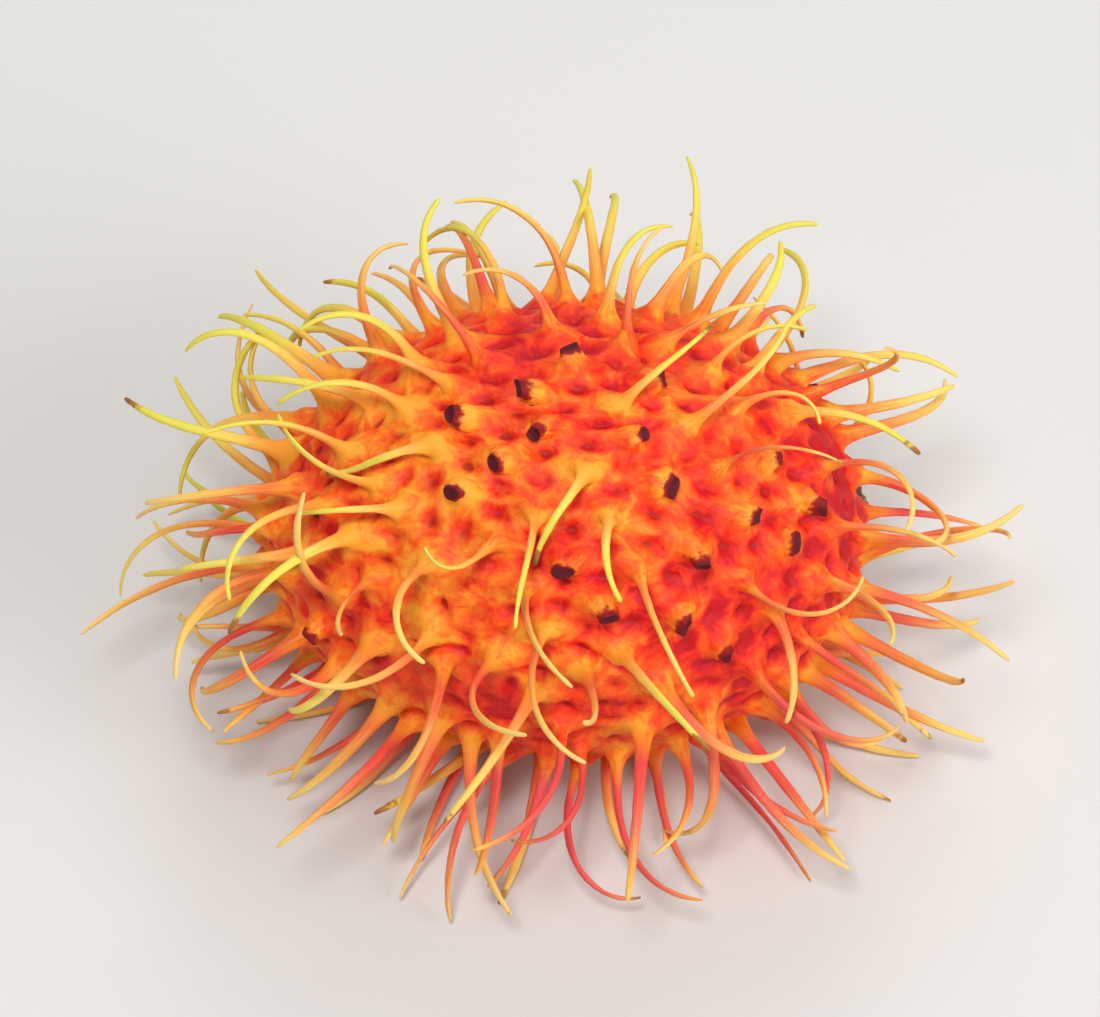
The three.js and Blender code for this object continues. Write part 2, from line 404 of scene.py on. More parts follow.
def only(*objects: bpy.types.Object) -> None:
    """Select these objects and no others, and make the first one, if any, active.

    Args:
        objects: What the next operator acts on.
    """
    bpy.ops.object.select_all(action="DESELECT")
    for obj in objects:
        obj.select_set(True)
    bpy.context.view_layer.objects.active = objects[0] if objects else None


def edit(obj: bpy.types.Object, steps: Callable[[], object], mode: str = "VERT") -> None:
    """Run edit-mode steps on one object.

    Args:
        obj: The mesh object to edit.
        steps: The operators to run.
        mode: What is selected: VERT, EDGE or FACE.
    """
    only(obj)
    bpy.context.tool_settings.mesh_select_mode = [mode == kind for kind in ("VERT", "EDGE", "FACE")]
    bpy.ops.object.mode_set(mode="EDIT")
    steps()
    bpy.ops.object.mode_set(mode="OBJECT")


def face_outwards() -> None:
    """In edit mode, turn every face outwards."""
    bpy.ops.mesh.select_all(action="SELECT")
    bpy.ops.mesh.normals_make_consistent(inside=False)


def select_faces(mesh: bpy.types.Mesh, wanted: np.ndarray) -> None:
    """Select some faces of a mesh, in object mode, and nothing else.

    Args:
        mesh: The mesh.
        wanted: For each face, whether it is selected.
    """
    for elements in (mesh.vertices, mesh.edges):
        elements.foreach_set("select", np.zeros(len(elements), bool))
    mesh.polygons.foreach_set("select", wanted)
    mesh.update()


def coordinates(mesh: bpy.types.Mesh) -> np.ndarray:
    """Return a mesh's vertex positions, one row each."""
    flat = np.zeros(len(mesh.vertices) * 3, np.float32)
    mesh.vertices.foreach_get("co", flat)
    return flat.reshape(-1, 3).astype(float)


def set_coordinates(mesh: bpy.types.Mesh, rows: np.ndarray) -> None:
    """Give a mesh new vertex positions, one row each."""
    mesh.vertices.foreach_set("co", rows.astype(np.float32).ravel())
    mesh.update()


def read_values(mesh: bpy.types.Mesh, *names: str) -> list[np.ndarray]:
    """Read some of a mesh's attributes.

    Args:
        mesh: The mesh.
        names: The attributes' names.

    Returns:
        For each attribute, one number or one row of three for each vertex or face.
    """
    found = []
    for name in names:
        attribute = mesh.attributes[name]
        wide, whole = (attribute.data_type == kind for kind in ("FLOAT_VECTOR", "INT"))
        values = np.zeros(len(attribute.data) * (3 if wide else 1), np.int32 if whole else np.float32)
        attribute.data.foreach_get("vector" if wide else "value", values)
        found.append(values.reshape(-1, 3) if wide else values)
    return found


def write_values(mesh: bpy.types.Mesh, domain: str = "POINT", **named: np.ndarray) -> None:
    """Write attributes, each made if the mesh hasn't got it.

    Args:
        mesh: The mesh.
        domain: POINT or FACE.
        named: For each attribute, one number or one row of three for each vertex or face.
    """
    for name, values in named.items():
        wide, whole = values.ndim == 2, values.dtype.kind == "i"
        kind = "FLOAT_VECTOR" if wide else "INT" if whole else "FLOAT"
        attribute = mesh.attributes.get(name) or mesh.attributes.new(name, kind, domain)
        values = values.astype(np.int32 if whole else np.float32).ravel()
        attribute.data.foreach_set("vector" if wide else "value", values)


def subdivide(obj: bpy.types.Object, levels: int = 1) -> None:
    """Smooth a mesh by subdivision, applied.

    Args:
        obj: The mesh object.
        levels: How often its faces are cut.
    """
    only(obj)
    modifier = obj.modifiers.new("subdivision", "SUBSURF")
    modifier.levels = modifier.render_levels = levels
    bpy.ops.object.modifier_apply(modifier=modifier.name)


def place_in_frame(obj: bpy.types.Object, middle: Vector, seat: Matrix = Matrix()) -> None:
    """Move a mesh made in millimetres to its place in the frame, and shade it smooth.

    Args:
        obj: The mesh object.
        middle: The spot on the floor under the body's middle, in metres.
        seat: What turns and moves the mesh to its seat on the body first, in millimetres.
    """
    obj.data.transform(Matrix.Translation(middle) @ Matrix.Scale(MM, 4) @ seat)
    only(obj)
    bpy.ops.object.shade_smooth()


# ---- Fruit


@dataclass(frozen=True)
class Ring:
    """One ring of a spintern: how high it stands, how thick it is there, and how withered and ragged."""

    share: float
    height: float
    radius: float
    wear: float = 0.0

    def distance(self, length: float) -> float:
        """Return how far along a spintern of this length the ring stands, in millimetres."""
        return self.height + self.share * (length - self.height)


RingFrame = tuple[np.ndarray, np.ndarray, np.ndarray, float]
ROOT_RING = Ring(0.0, 0.0, 0.0)
LONG_RINGS = tuple(Ring(*sizes) for sizes in (
    (0.0, 0.28, 1.44), (0.0, 0.68, 0.93), (0.0, 1.25, 0.65), (0.07, 1.25, 0.5), (0.17, 1.25, 0.43),
    (0.28, 1.25, 0.39), (0.39, 1.25, 0.365), (0.5, 1.25, 0.34), (0.61, 1.25, 0.315), (0.72, 1.25, 0.285),
    (0.83, 1.25, 0.25), (0.92, 1.25, 0.21), (0.97, 1.25, 0.17), (1.0, 1.25, 0.1)))
STUB_RINGS = tuple(Ring(*sizes) for sizes in (
    (0.0, 0.28, 1.5), (0.0, 0.6, 1.14, 0.1), (0.0, 0.95, 0.94, 0.3), (0.4, 0.95, 0.82, 0.5),
    (0.85, 0.95, 0.7, 0.72), (1.0, 0.95, 0.5, 0.9), (0.5, 0.95, 0.3, 1.0)))


@dataclass(frozen=True)
class SkinMap:
    """The skin's flat map: two domes of rind below, and above them a strip for every spintern."""

    dome_share: float = 0.44
    dome_reach: float = 1.2
    columns: int = 32
    rows: int = 8
    gap: float = 0.06
    wrap: float = 1.22
    cap_share: float = 0.05
    strip_top: float = 0.92

    def dome(self, directions: np.ndarray, upper: bool) -> np.ndarray:
        """Lay directions out on the upper or the lower dome.

        Args:
            directions: Unit vectors from the body's middle, one row each.
            upper: Whether they go on the upper dome.

        Returns:
            Map places, one row of two each.
        """
        height = directions[:, 2] * (1 if upper else -1)
        level = np.hypot(directions[:, 0], directions[:, 1])
        reach = np.sqrt(np.maximum(0.0, 1 - height)) / self.dome_reach / np.maximum(level, 1e-6)
        across = 0.25 * (1 + directions[:, 0] * reach) if upper else 0.75 - 0.25 * directions[:, 0] * reach
        onwards = 0.5 * (1 + directions[:, 1] * reach) * self.dome_share
        return np.stack([across, onwards], 1)

    def strip(self, number: int, turns: np.ndarray, heights: np.ndarray) -> np.ndarray:
        """Lay points of one spintern out on its own strip.

        Args:
            number: Which spintern it is.
            turns: How far round the spintern each point lies, in radians.
            heights: How far up the strip each point lies, from 0 to 1.

        Returns:
            Map places, one row of two each.
        """
        column, row = number % self.columns, number // self.columns
        inner = 1 - 2 * self.gap
        across = (column + self.gap + inner * turns / (2 * math.pi * self.wrap)) / self.columns
        onwards = (row + self.gap + inner * heights) / self.rows
        return np.stack([across, self.dome_share + (1 - self.dome_share) * onwards], 1)

    def cap(self, number: int, turns: np.ndarray) -> np.ndarray:
        """Lay a spintern's tip out at the end of its strip."""
        across = math.pi * self.wrap * (1 + 0.5 * np.cos(turns))
        return self.strip(number, across, 1 - self.cap_share * (1 - np.sin(turns)) / 2)


@dataclass
class FruitSkin:
    """The whole rind with its tubercles and spinterns, grown as one seamless skin. Millimetres."""

    layout: SpinternField
    middle: Vector
    skin_map: SkinMap = SkinMap()
    # The net of cells, one for each spintern.
    cell_share: float = 40.0
    cell_slack: float = 0.35
    # The hollows between the cells, with their pits.
    hollow_rim: float = 0.02
    hollow_depth: float = 0.3
    hollow_unevenness: float = 0.8
    hollow_scale: float = 0.9
    pit_depth: float = 0.75
    pit_share: float = 0.52
    usual_pit: float = 0.6
    pit_spread: float = 1.3
    # The spinterns' thickness, and their strap-like section.
    full_girth: float = 1.12
    slimming: float = 0.36
    stub_slimming: float = 0.05
    girth_spread: float = 0.3
    girth_rise: float = 9.0
    bluntness: float = 4.0
    blunt_from: float = 0.85
    strap: tuple[float, float] = (1.22, 0.84)
    even_from: int = 3
    # The ragged ends of the stubs.
    raggedness: float = 0.75
    rag_scale: float = 1.4
    rag_flare: float = 1.2
    # The dried ring round the stalk, and the tips that have turned brown.
    ring_outside: float = 4.9
    ring_width: float = 2.2
    ring_wear: float = 0.75
    aged_from: float = 0.19
    aged_rate: float = 6.0
    aged_tip: float = 0.8
    aged_wear: float = 0.75
    # Where the rind has stayed orange, and how early each spintern turns yellow.
    sunny_side: Way = (-0.95, -0.28, 0.08)
    sunny_from: float = 0.1
    sunny_over: float = 0.8
    usual_yellow: float = 0.46
    rind_yellow: float = 0.4
    yellow_behind: float = 0.3
    yellow_above: float = 0.12
    yellow_handled: float = 0.06
    yellow_spread: float = 0.75
    red_in_front: float = 0.22
    red_below: float = 0.7
    # How the finish follows the hollows, the stubs and the grain.
    root_rise: float = 0.36
    full_rise_at: float = 1.5
    stub_reach: float = 0.12
    rind_grain: float = 0.25
    grain_stretch: float = 0.12
    grain_shift: float = 3.7
    # How the flat map draws each spintern's foot together.
    foot_lean: tuple[float, ...] = (0.0, 0.28, 0.5, 0.66)
    # The small unevenness of the finished skin.
    lumps: tuple[float, float] = (0.75, 1.9)
    fine_share: float = 0.5
    rind_roughness: float = 0.11
    spine_roughness: float = 0.045
    spine_from: float = 0.1
    seated_below: float = 0.02
    spinterns: Sequence[Spintern] = ()
    obj: bpy.types.Object | None = None

    @property
    def body(self) -> BodyForm:
        """The body that the skin covers."""
        return self.layout.body

    @property
    def core(self) -> np.ndarray:
        """The middle of the body."""
        return np.array((0.0, 0.0, self.body.centre_height))

    @property
    def mesh(self) -> bpy.types.Mesh:
        """The skin's mesh."""
        return self.obj.data

    def build(self) -> bpy.types.Object:
        """Build the skin and return it, in metres, in the frame's place."""
        self.spinterns = self.layout.grow_all()
        self.stretch_net()
        self.mark_cells()
        self.dent_hollows()
        self.draw_out_spinterns()
        self.write_looks()
        self.write_map()
        subdivide(self.obj)
        self.roughen()
        for name in ("cell", "owner", "ring", "turn", "even_turn", "net"):
            self.mesh.attributes.remove(self.mesh.attributes[name])
        place_in_frame(self.obj, self.middle)
        return self.obj

    def stretch_net(self) -> None:
        """Stretch a net over the places and cut each of its corners to a cell."""
        mesh = bpy.data.meshes.new("rind_and_spinterns")
        mesh.from_pydata([tuple(s.place) for s in self.spinterns], [], [])
        self.obj = bpy.data.objects.new(mesh.name, mesh)
        bpy.context.scene.collection.objects.link(self.obj)

        def steps() -> None:
            """Cover the points with a net, and cut its corners."""
            bpy.ops.mesh.select_all(action="SELECT")
            bpy.ops.mesh.convex_hull(join_triangles=False)
            bpy.ops.mesh.select_all(action="SELECT")
            bpy.ops.mesh.bevel(offset_type="PERCENT", offset_pct=self.cell_share, affect="VERTICES")
            face_outwards()

        edit(self.obj, steps)

    def mark_cells(self) -> None:
        """Number each cell by its spintern, and move the net onto the body's surface."""
        rows = coordinates(self.mesh)
        places = np.array([s.place for s in self.spinterns])
        owner, cell = np.full(len(rows), -1), np.full(len(self.mesh.polygons), -1)
        turn, even = np.zeros((2, len(rows)))
        for face in self.mesh.polygons:
            corners = np.array(face.vertices)
            middle = rows[corners].mean(0)
            offsets = rows[corners] - middle
            gaps = np.linalg.norm(places - middle / np.linalg.norm(middle), axis=1)
            nearest = int(gaps.argmin())
            reach = np.linalg.norm(offsets, axis=1).mean()
            if gaps[nearest] >= self.cell_slack * reach or owner[corners].max() >= 0:
                continue
            cell[face.index] = owner[corners] = nearest
            side, across = self.base_frame(self.spinterns[nearest])
            angles = np.arctan2(offsets @ across, offsets @ side)
            order = np.argsort(angles)
            spread = np.arange(len(corners)) * 2 * math.pi / len(corners)
            start = np.angle(np.exp(1j * (angles[order] - spread)).mean())
            turn[corners] = angles
            even[corners[order]] = angles[order] + np.angle(np.exp(1j * (spread + start - angles[order])))
        write_values(self.mesh, "FACE", cell=cell)
        write_values(self.mesh, owner=owner, ring=np.zeros(len(rows), int), turn=turn, even_turn=even,
                     net=rows / np.linalg.norm(rows, axis=1)[:, None])
        set_coordinates(self.mesh, np.array([self.on_body(Vector(row).normalized()) for row in rows]))

    def base_frame(self, spintern: Spintern) -> tuple[np.ndarray, np.ndarray]:
        """Return two directions across a spintern's root: along its hinge, and square to that."""
        side = (spintern.hinge - spintern.heading * spintern.hinge.dot(spintern.heading)).normalized()
        return np.array(side), np.array(spintern.heading.cross(side))

    def on_body(self, direction: Vector) -> Vector:
        """Return the body's surface point in a direction, pressed flat on the floor."""
        point = self.body.point(direction) + UP * self.body.centre_height
        return Vector((point.x, point.y, max(point.z, 0.0)))

    def dent_hollows(self) -> None:
        """Sink each face between the cells into a hollow with a small deep pit in its middle."""
        select_faces(self.mesh, read_values(self.mesh, "cell")[0] < 0)
        rims = len(self.mesh.vertices)
        edit(self.obj, lambda: bpy.ops.mesh.inset(thickness=self.hollow_rim, use_individual=True), "FACE")
        self.draw_together()
        middles = len(self.mesh.vertices)
        edit(self.obj, lambda: bpy.ops.mesh.poke(), "FACE")
        rows = coordinates(self.mesh)
        pit = np.zeros(len(rows))
        for i in range(rims, len(rows)):
            inward = (self.core - rows[i]) / np.linalg.norm(self.core - rows[i])
            unevenness = noise.noise(Vector(rows[i]) * self.hollow_scale)
            if i < middles:
                rows[i] += inward * self.hollow_depth * (1 + self.hollow_unevenness * unevenness)
            else:
                pit[i] = held(self.usual_pit + self.pit_spread * unevenness)
                rows[i] += inward * (self.hollow_depth + self.pit_depth * pit[i])
        rows[rims:, 2] = np.maximum(rows[rims:, 2], 0.0)
        owner, net = read_values(self.mesh, "owner", "net")
        owner[rims:] = -1
        sizes = np.array((self.body.length, self.body.width, self.body.height))
        net[rims:] = (rows[rims:] - self.core) / sizes
        # The pit depths also mark where the rind gets painted shade.
        write_values(self.mesh, owner=owner, net=net / np.linalg.norm(net, axis=1)[:, None], pit=pit)
        set_coordinates(self.mesh, rows)

    def draw_together(self) -> None:
        """Draw the selected faces' corners towards their middles, for the pits."""
        rows = coordinates(self.mesh)
        for face in self.mesh.polygons:
            if face.select:
                corners = list(face.vertices)
                middle = rows[corners].mean(0)
                rows[corners] = middle + (rows[corners] - middle) * self.pit_share
        set_coordinates(self.mesh, rows)

    def rings_of(self, spintern: Spintern) -> Sequence[Ring]:
        """Return the rings that a spintern is drawn out in: none in the bare places."""
        rings = STUB_RINGS if spintern.stub else LONG_RINGS
        return rings if spintern.grows else ()

    def girth(self, spintern: Spintern) -> float:
        """Return how thick a spintern is, where 1 is usual: slimmer where the fruit has been handled."""
        slimming = self.stub_slimming if spintern.stub else self.slimming
        return (self.full_girth - slimming * spintern.handled) * (1 + self.girth_spread * spintern.tone)

    def ring_frames(self, spintern: Spintern) -> list[RingFrame]:
        """Work out where a spintern's rings stand.

        Args:
            spintern: The spintern.

        Returns:
            For each ring its middle, its two directions and its radius.
        """
        points = np.array(spintern.path)
        step = spintern.length / (len(points) - 1)
        side = Vector(self.base_frame(spintern)[0])
        frames = []
        last = spintern.heading
        for ring in self.rings_of(spintern):
            at = min(ring.distance(spintern.length) / step, len(points) - 1.001)
            low = int(at)
            middle = points[low] + (points[low + 1] - points[low]) * (at - low)
            ahead = Vector(points[min(low + 2, len(points) - 1)] - points[max(low - 1, 0)]).normalized()
            side = last.rotation_difference(ahead) @ side
            side = (side - ahead * side.dot(ahead)).normalized()
            last = ahead
            girth = 1 + (self.girth(spintern) - 1) * min(1.0, ring.height + ring.share * self.girth_rise)
            girth *= 1 + self.bluntness * spintern.handled * max(0.0, ring.share - self.blunt_from)
            frames.append((middle, np.array(side), np.array(ahead.cross(side)), ring.radius * girth))
        return frames

    def draw_out_spinterns(self) -> None:
        """Extrude every cell ring by ring, setting each new ring on its spintern's path."""
        frames = [self.ring_frames(s) for s in self.spinterns]
        for level in range(len(LONG_RINGS)):
            cell, ring = read_values(self.mesh, "cell", "ring")
            wanted = [number >= 0 and len(frames[number]) > level
                      and set(ring[list(face.vertices)]) == {level}
                      for number, face in zip(cell, self.mesh.polygons)]
            select_faces(self.mesh, np.array(wanted))
            edit(self.obj, lambda: bpy.ops.mesh.extrude_faces_indiv(), "FACE")
            self.set_ring(frames, level)

    def set_ring(self, frames: Sequence[list[RingFrame]], level: int) -> None:
        """Move the caps that were just extruded to their ring's place.

        Args:
            frames: The rings of every spintern.
            level: Which ring this is.
        """
        rows = coordinates(self.mesh)
        cell, owner, ring, turn, even = read_values(self.mesh, "cell", "owner", "ring", "turn", "even_turn")
        evenness = min(1.0, (level + 1) / self.even_from)
        flatness = (np.array(self.strap) - 1) * evenness + 1
        for face in self.mesh.polygons:
            if not face.select:
                continue
            number = cell[face.index]
            middle, side, across, radius = frames[number][level]
            ragged = self.raggedness * self.rings_of(self.spinterns[number])[level].wear
            for corner in face.vertices:
                angle = turn[corner] + (even[corner] - turn[corner]) * evenness
                wide, deep = flatness * (math.cos(angle), math.sin(angle))
                rag = ragged * noise.noise(Vector((wide, deep, number)) * self.rag_scale)
                reach = radius * (1 + self.rag_flare * rag)
                rows[corner] = middle + reach * (wide * side + deep * across) + rag * np.cross(side, across)
                ring[corner] = level + 1
                owner[corner] = number
        rows[:, 2] = np.maximum(rows[:, 2], 0.0)
        write_values(self.mesh, ring=ring, owner=owner)
        set_coordinates(self.mesh, rows)

    def yellowing(self, spintern: Spintern) -> float:
        """Find how early a spintern turns yellow: most at the back, least low in front.

        Args:
            spintern: The spintern.

        Returns:
            Its yellowing, from 0 to 1.
        """
        normal = spintern.normal
        back = self.yellow_behind * max(0.0, normal.y) + self.yellow_above * max(0.0, normal.z)
        front = self.red_in_front * max(0.0, -normal.y) * (self.red_below - normal.z)
        own = self.yellow_handled * spintern.handled + self.yellow_spread * spintern.tone
        return held(self.usual_yellow + back - front + own)

    def write_looks(self) -> None:
        """Write what the finish reads: place along each spintern, rise from the hollows, tone and wear."""
        owner, ring, turn = read_values(self.mesh, "owner", "ring", "even_turn")
        rows = coordinates(self.mesh)
        along, rise, tone, wear = np.zeros((4, len(rows)))
        yellow = np.full(len(rows), self.rind_yellow)
        grain = rows * self.rind_grain
        for i in np.flatnonzero(owner >= 0):
            spintern = self.spinterns[owner[i]]
            level = self.rings_of(spintern)[ring[i] - 1] if ring[i] > 0 else ROOT_RING
            distance = level.distance(spintern.length)
            share = distance / spintern.length
            tone[i] = spintern.tone
            yellow[i] = self.yellowing(spintern)
            along[i] = share * (self.stub_reach if spintern.stub else 1.0)
            # rise also paints light and shade on the rind: darker in the hollows, lighter up the tubercles.
            rise[i] = held(self.root_rise + (1 - self.root_rise) * distance / self.full_rise_at)
            wear[i] = level.wear if spintern.stub else self.tip_wear(spintern, share)
            grain[i] = (math.cos(turn[i]), math.sin(turn[i]), self.grain_stretch * distance)
            grain[i] += self.grain_shift * owner[i]
        write_values(self.mesh, along=along, rise=rise, tone=tone, yellow=yellow, blush=self.blush(rows),
                     wear=np.maximum(wear, self.dried_ring(rows)), grain=grain)

    def tip_wear(self, spintern: Spintern, share: float) -> float:
        """Return how withered a long spintern is at a share of its length: some tips have turned brown."""
        aged = held((abs(spintern.tone) - self.aged_from) * self.aged_rate)
        return self.aged_wear * aged * held((share - self.aged_tip) / (1 - self.aged_tip))

    def dried_ring(self, rows: np.ndarray) -> np.ndarray:
        """Find how withered the rind is round the stalk.

        Args:
            rows: Places on the skin, one row each.

        Returns:
            The withering of each, 0 well away from the stalk.
        """
        stem = self.body.stem_direction
        away = rows - np.array(self.body.point(stem) + UP * self.body.centre_height)
        along = away @ np.array(stem)
        aside = np.linalg.norm(away - along[:, None] * np.array(stem), axis=1)
        near = np.clip((self.ring_outside - aside) / self.ring_width, 0.0, 1.0)
        return np.where(along > -self.body.height / 2, near * self.ring_wear, 0.0)

    def blush(self, rows: np.ndarray) -> np.ndarray:
        """Find how orange the rind has stayed.

        Args:
            rows: Places on the skin, one row each.

        Returns:
            For each, from 0 round the ripe back to 1 on the other side.
        """
        towards = rows - self.core
        towards /= np.linalg.norm(towards, axis=1)[:, None]
        facing = towards @ np.array(unit(self.sunny_side))
        share = np.clip((facing - self.sunny_from) / self.sunny_over, 0.0, 1.0)
        return share * share * (3 - 2 * share)

    def write_map(self) -> None:
        """Write the skin's flat map: each face goes on a dome, on a strip or on a strip's end."""
        net, turn, ring, owner = read_values(self.mesh, "net", "even_turn", "ring", "owner")
        places = np.array([s.place for s in self.spinterns])
        lean = np.array(self.foot_lean)
        foot = len(lean) - 1
        uv = np.zeros((len(self.mesh.loops), 2))
        for face in self.mesh.polygons:
            corners = np.array(face.vertices)
            at = slice(face.loop_start, face.loop_start + len(corners))
            number = owner[corners].max()
            rings = ring[corners]
            if rings.max() <= foot:
                inward = lean[rings][:, None]
                middle = places[number] if owner[corners].min() >= 0 else net[corners].mean(0)
                spread = net[corners] * (1 - inward) + middle * inward
                spread /= np.linalg.norm(spread, axis=1)[:, None]
                uv[at] = self.skin_map.dome(spread, middle[2] > 0)
                continue
            turns = np.mod(turn[corners], 2 * math.pi)
            turns = np.where(turns.max() - turns > math.pi, turns + 2 * math.pi, turns)
            if rings.min() == rings.max():
                uv[at] = self.skin_map.cap(number, turns)
                continue
            heights = (rings - foot) / (len(self.rings_of(self.spinterns[number])) - foot)
            uv[at] = self.skin_map.strip(number, turns, heights * self.skin_map.strip_top)
        self.mesh.uv_layers.new(name="OFBake").data.foreach_set("uv", uv.astype(np.float32).ravel())

    def roughen(self) -> None:
        """Give the smooth skin its small unevenness."""
        rows = coordinates(self.mesh)
        normals = np.zeros(len(rows) * 3, np.float32)
        self.mesh.vertices.foreach_get("normal", normals)
        along = read_values(self.mesh, "along")[0]
        size = np.where(along > self.spine_from, self.spine_roughness, self.rind_roughness)
        coarse, fine = ([noise.noise(Vector(row) * scale) for row in rows] for scale in self.lumps)
        height = size * (np.array(coarse) + self.fine_share * np.array(fine))
        moved = rows + normals.reshape(-1, 3) * height[:, None]
        seated = rows[:, 2] < self.seated_below
        moved[:, 2] = np.where(seated, rows[:, 2], np.maximum(moved[:, 2], 0.0))
        set_coordinates(self.mesh, moved)


# ---- Stalk


@dataclass
class StemStub:
    """What is left of the woody stalk, with its corky disc seated in the socket. Millimetres."""

    body: BodyForm
    middle: Vector
    socket_depth: float = 1.3
    sides: int = 36
    rings: tuple[tuple[float, float], ...] = (
        (-0.2, 3.25), (0.5, 3.35), (1.05, 3.2), (1.5, 2.7), (1.9, 2.15), (2.4, 1.78), (3.0, 1.62),
        (3.5, 1.66), (4.0, 1.55), (4.5, 1.5), (4.9, 1.6), (5.2, 1.62), (5.45, 1.3), (5.3, 0.7))
    end_inset: float = 0.35
    # The bark's flutes, wrinkles and lumps.
    flutes: int = 9
    flute_depth: float = 0.06
    flute_slant: float = 0.6
    fibre_stretch: float = 0.16
    fibre_spread: float = 0.1
    wrinkle_depth: float = 0.16
    wrinkle_scale: float = 4.5
    lump_depth: float = 0.13
    lump_scale: float = 0.9
    heart: float = 0.01
    full_depth_from: float = 0.6
    # The broken end.
    break_height: float = 0.7
    break_softness: float = 0.5
    break_roughness: float = 0.4
    break_scale: float = 2.3
    break_radius: float = 1.45
    break_edge: float = 0.3
    obj: bpy.types.Object | None = None

    def build(self) -> bpy.types.Object:
        """Build the stub and return it, in metres, in the frame's place."""
        only()
        start_height, start_radius = self.rings[0]
        bpy.ops.mesh.primitive_circle_add(vertices=self.sides, radius=start_radius, fill_type="NGON",
                                          location=(0.0, 0.0, start_height))
        self.obj = bpy.context.active_object
        self.obj.name = "stem_stub_bark"
        only(self.obj)
        bpy.ops.object.transform_apply()
        edit(self.obj, self.raise_rings, "FACE")
        subdivide(self.obj, 2)
        self.weather()
        direction = self.body.stem_direction
        surface = self.body.point(direction) + UP * self.body.centre_height
        seat = Matrix.Translation(surface - direction * self.socket_depth)
        place_in_frame(self.obj, self.middle, seat @ direction.to_track_quat("Z", "Y").to_matrix().to_4x4())
        return self.obj

    def raise_rings(self) -> None:
        """Draw the disc up into the stalk, ring by ring, and close both ends."""
        bpy.ops.mesh.select_all(action="SELECT")
        for (low, inner), (high, outer) in zip(self.rings, self.rings[1:]):
            bpy.ops.mesh.extrude_region_move(TRANSFORM_OT_translate={"value": (0.0, 0.0, high - low)})
            grow = outer / inner
            bpy.ops.transform.resize(value=(grow, grow, 1.0), center_override=(0.0, 0.0, high))
        bpy.ops.mesh.inset(thickness=self.end_inset)
        face_outwards()

    def weather(self) -> None:
        """Flute and roughen the bark, splinter the broken end, and mark that end."""
        rows = coordinates(self.obj.data)
        top = max(height for height, _ in self.rings)
        broken, reach = np.zeros((2, len(rows)))
        fibres = np.zeros((len(rows), 3))
        for i, row in enumerate(rows):
            radius = math.hypot(row[0], row[1])
            angle = math.atan2(row[1], row[0])
            along = self.fibre_stretch * row[2] + self.fibre_spread * radius
            fibres[i] = (math.cos(angle), math.sin(angle), along)
            reach[i] = radius
            flute = self.flute_depth * math.cos(self.flutes * angle + self.flute_slant * row[2])
            wrinkle = self.wrinkle_depth * noise.noise(Vector(fibres[i]) * self.wrinkle_scale)
            lump = self.lump_depth * noise.noise(Vector(row) * self.lump_scale)
            if radius > self.heart:
                row[:2] *= 1 + (flute + wrinkle + lump) * min(1.0, radius) / max(radius, self.full_depth_from)
            near_end = held((row[2] - (top - self.break_height)) / self.break_softness)
            row[2] += near_end * self.break_roughness * noise.noise(Vector(row) * self.break_scale)
            broken[i] = near_end * (1.0 if radius < self.break_radius else self.break_edge)
        set_coordinates(self.obj.data, rows)
        write_values(self.obj.data, broken=broken, reach=reach, fibres=fibres)


# ---- Materials


def operator(operation: str, swapped: bool = False) -> Callable[["Channel", object], "Channel"]:
    """Make a method that adds one Math node.

    Args:
        operation: The node's operation.
        swapped: Whether the other value comes first.

    Returns:
        The method, for a channel and the other value.
    """

    def method(channel: "Channel", other: object) -> "Channel":
        """Return the node's result."""
        return channel.math(operation, *((other, channel) if swapped else (channel, other)))

    return method


class Channel:
    """A node's output, used in sums as if it were a number."""

    __add__ = operator("ADD")
    __radd__ = operator("ADD", swapped=True)
    __sub__ = operator("SUBTRACT")
    __rsub__ = operator("SUBTRACT", swapped=True)
    __mul__ = operator("MULTIPLY")
    __rmul__ = operator("MULTIPLY", swapped=True)

    def __init__(self, shader: "Shader", socket: bpy.types.NodeSocket) -> None:
        """Wrap one output of a node of a material."""
        self.shader = shader
        self.socket = socket

    def math(self, operation: str, *values: object) -> "Channel":
        """Return the result of one Math node."""
        return self.shader.node("ShaderNodeMath", {"operation": operation}, dict(enumerate(values)))[0]

    def clamped(self) -> "Channel":
        """Return self held between 0 and 1."""
        return self.math("MINIMUM", self.math("MAXIMUM", self, 0.0), 1.0)

    def step(self, low: float, high: float) -> "Channel":
        """Return a smooth step of self, 0 below low and 1 above high."""
        inputs = {"Value": self, "From Min": low, "From Max": high}
        return self.shader.node("ShaderNodeMapRange", {"interpolation_type": "SMOOTHSTEP"}, inputs)[0]


